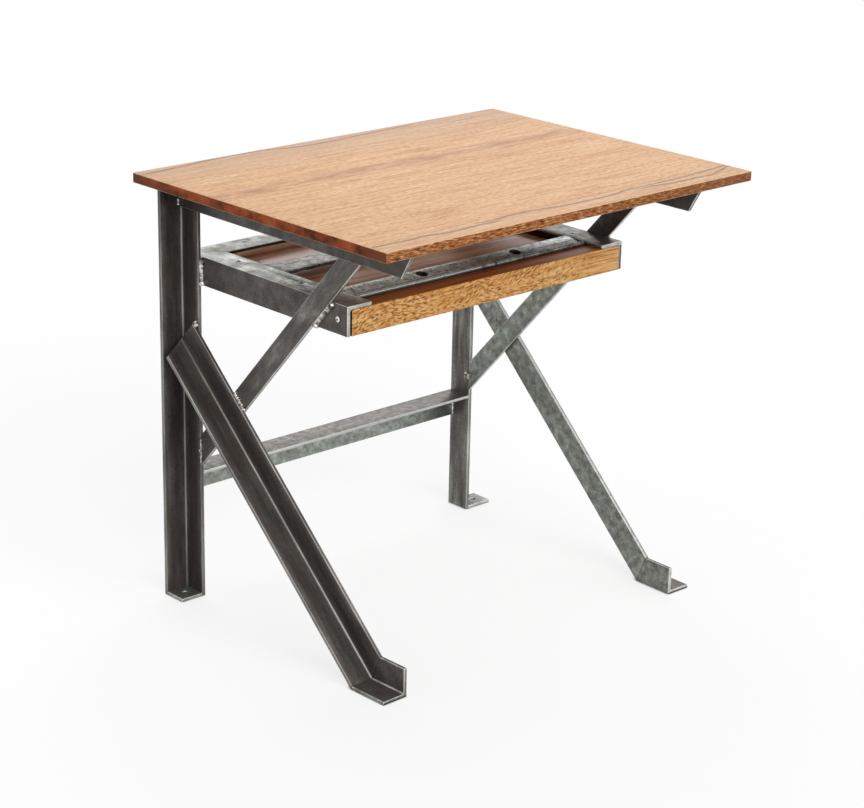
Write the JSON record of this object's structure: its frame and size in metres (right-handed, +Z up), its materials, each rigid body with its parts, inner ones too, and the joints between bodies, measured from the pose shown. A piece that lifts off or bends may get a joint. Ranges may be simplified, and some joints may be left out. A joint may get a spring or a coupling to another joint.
{
  "type": "steel desk",
  "caption": "Writing desk welded from steel angle: wooden top, upright rear posts, sloping front legs, crossed braces and a shallow wood-lined tray fixed under the top.",
  "frame": {"origin": "on the floor, under the middle of the wooden top", "axes": "+X to the sitter's right along the top's length, -Y towards the sitter, +Z up"},
  "size_m": [0.824, 0.631, 0.768],
  "materials": {
    "mill_steel": "raw rolled steel with mill scale, waxed",
    "pitted_steel": "pitted reclaimed bar",
    "dark_screw": "dark screw steel",
    "zinc_screw": "bright zinc plate",
    "top_wood": "oiled, light tan with darker streaks",
    "tray_wood": "oiled, golden brown"
  },
  "bodies": {
    "root": {"left_brace": "mill_steel", "left_leg": "mill_steel", "left_leg_foot": "mill_steel", "left_post": "mill_steel", "left_post_foot": "mill_steel", "left_top_rail": "mill_steel", "right_brace": "mill_steel", "right_leg": "mill_steel", "right_leg_foot": "mill_steel", "right_post": "mill_steel", "right_post_foot": "mill_steel", "right_top_rail": "mill_steel", "stretcher": "mill_steel", "top_front_strip": "top_wood", "top_panel": "top_wood", "top_rear_strip": "top_wood", "top_screw_left_1": "dark_screw", "top_screw_left_2": "dark_screw", "top_screw_left_3": "dark_screw", "top_screw_right_1": "dark_screw", "top_screw_right_2": "dark_screw", "top_screw_right_3": "dark_screw", "tray_board_screw_left": "zinc_screw", "tray_board_screw_right": "zinc_screw", "tray_flange_screw_left_1": "dark_screw", "tray_flange_screw_left_2": "dark_screw", "tray_flange_screw_rear_left": "dark_screw", "tray_flange_screw_rear_right": "dark_screw", "tray_flange_screw_right_1": "dark_screw", "tray_flange_screw_right_2": "dark_screw", "tray_front_bar": "pitted_steel", "tray_front_board": "tray_wood", "tray_left_batten": "tray_wood", "tray_left_rail": "mill_steel", "tray_middle_bar": "pitted_steel", "tray_panel": "tray_wood", "tray_rear_batten": "tray_wood", "tray_rear_rail": "mill_steel", "tray_right_batten": "tray_wood", "tray_right_rail": "mill_steel"}
  },
  "joints": []
}
